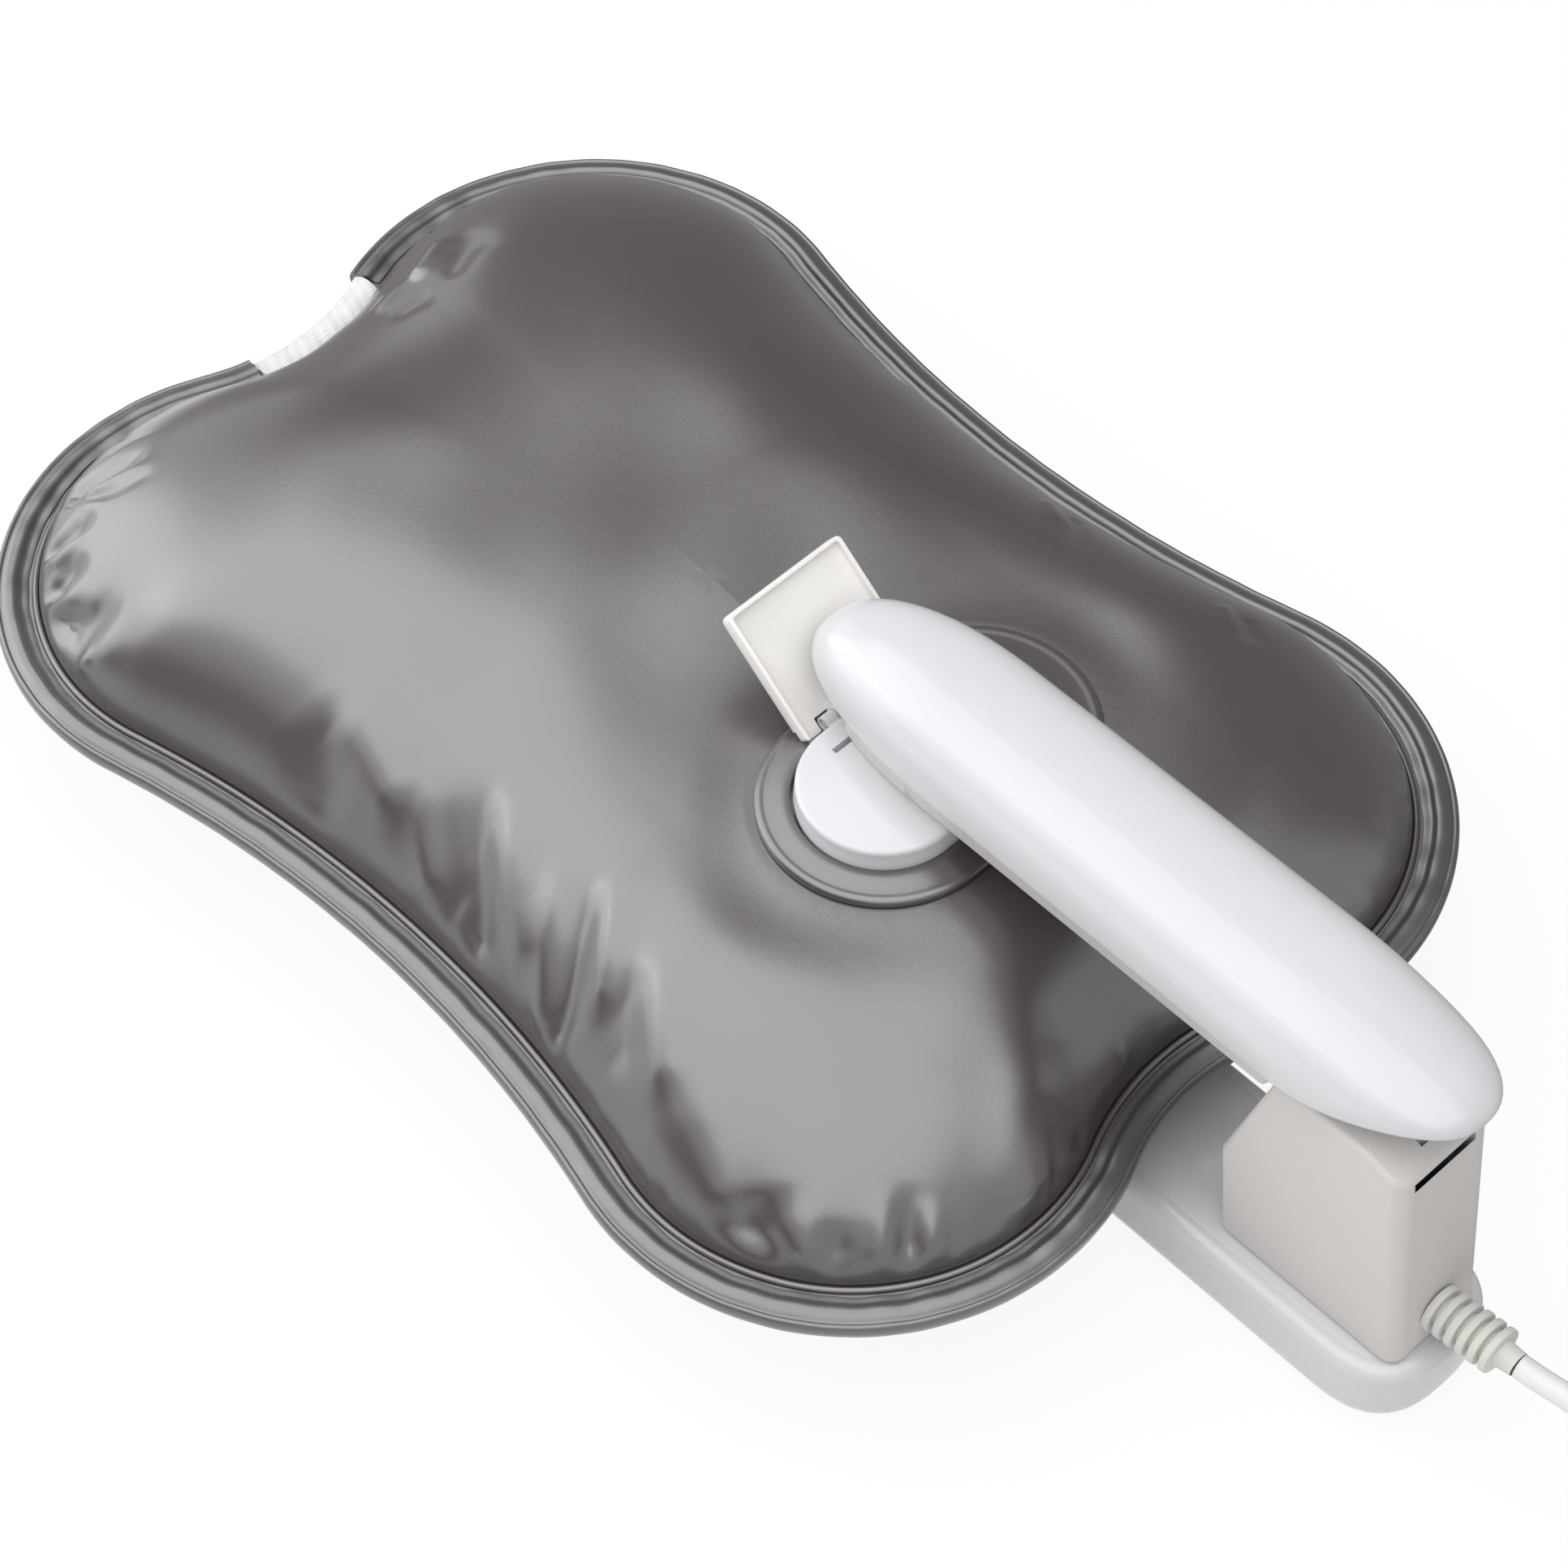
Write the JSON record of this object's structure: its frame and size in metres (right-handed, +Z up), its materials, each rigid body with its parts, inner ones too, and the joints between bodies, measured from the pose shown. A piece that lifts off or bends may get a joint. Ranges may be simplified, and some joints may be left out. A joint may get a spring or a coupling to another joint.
{
  "type": "electric hot water bottle",
  "caption": "Soft grey hot water bag with a bound seam and a lidded charging port, gripped by a white sprung clip whose arm plugs into the port, with a coiled mains cord.",
  "frame": {"origin": "on the table, under the middle of the box round the bag and the clip, without the cord", "axes": "+X from the bag's far end towards the clip's housing and its cord, +Z up"},
  "size_m": [0.4599, 0.2387, 0.0989],
  "materials": {
    "vinyl_grey": "satin",
    "binding_grey": "satin",
    "label_white": "matte",
    "water": "gloss",
    "white_gloss": "gloss",
    "white_matte": "matte",
    "lid_cream": "satin",
    "relief_grey": "matte",
    "cord_white": "satin",
    "inner_plastic": "matte",
    "graphite": "matte",
    "brass": "polished",
    "steel": "brushed"
  },
  "bodies": {
    "root": {"bag_upper_panel": "vinyl_grey", "bag_lower_panel": "vinyl_grey", "water_bladder": "water", "edge_binding": "binding_grey", "edge_label": "label_white", "port_flange": "vinyl_grey", "port_gasket": "relief_grey", "port_backing_ring": "inner_plastic", "socket_housing": "white_gloss", "socket_contact_left": "brass", "socket_contact_right": "brass", "lid_hinge_pin": "steel", "heater_chamber": "inner_plastic", "electrode_left": "graphite", "electrode_right": "graphite", "thermostat": "steel", "thermal_fuse": "steel", "housing_shell": "white_matte", "housing_front_cover": "white_matte", "arm_hinge_pin": "steel", "torsion_spring": "steel", "jaw_shell": "white_gloss", "jaw_deck": "white_gloss", "jaw_screw_1": "steel", "jaw_screw_2": "steel", "micro_switch": "graphite", "cord_clamp_base": "inner_plastic", "cord_clamp_bar": "inner_plastic", "clamp_screw_1": "steel", "clamp_screw_2": "steel", "cord_inner_end": "cord_white", "terminal_block": "inner_plastic", "strain_relief": "relief_grey", "cord_lead": "cord_white", "cord_coil": "cord_white", "cord_tail": "cord_white", "coil_tie": "relief_grey", "mains_plug_body": "white_matte", "mains_plug_blade_1": "brass", "mains_plug_blade_2": "brass"},
    "arm": {"arm_cover": "white_gloss", "arm_body": "white_matte", "plug_block": "inner_plastic", "plug_pin_left": "brass", "plug_pin_right": "brass"},
    "lid": {"socket_lid": "lid_cream"},
    "plunger": {"switch_plunger": "white_matte"}
  },
  "joints": [
    {"name": "arm_hinge", "type": "hinge", "parent": "root", "child": "arm", "pos_m": [0.14768, 0, 0.07295], "axis": [0, 1, 0], "range_deg": [0, 18], "stiffness_Nm_per_rad": 0.15, "springref_deg": -34.38},
    {"name": "lid_hinge", "type": "hinge", "parent": "root", "child": "lid", "pos_m": [0.00628, 0, 0.07285], "axis": [0, 1, 0], "range_deg": [-8, 6]},
    {"name": "plunger_slide", "type": "slide", "parent": "root", "child": "plunger", "axis": [0, 0, 1], "range_m": [0, 0.0015]}
  ],
  "couplings": [
    {"joint": "plunger_slide", "follows": "arm_hinge", "m_per_rad": 0.00477}
  ]
}
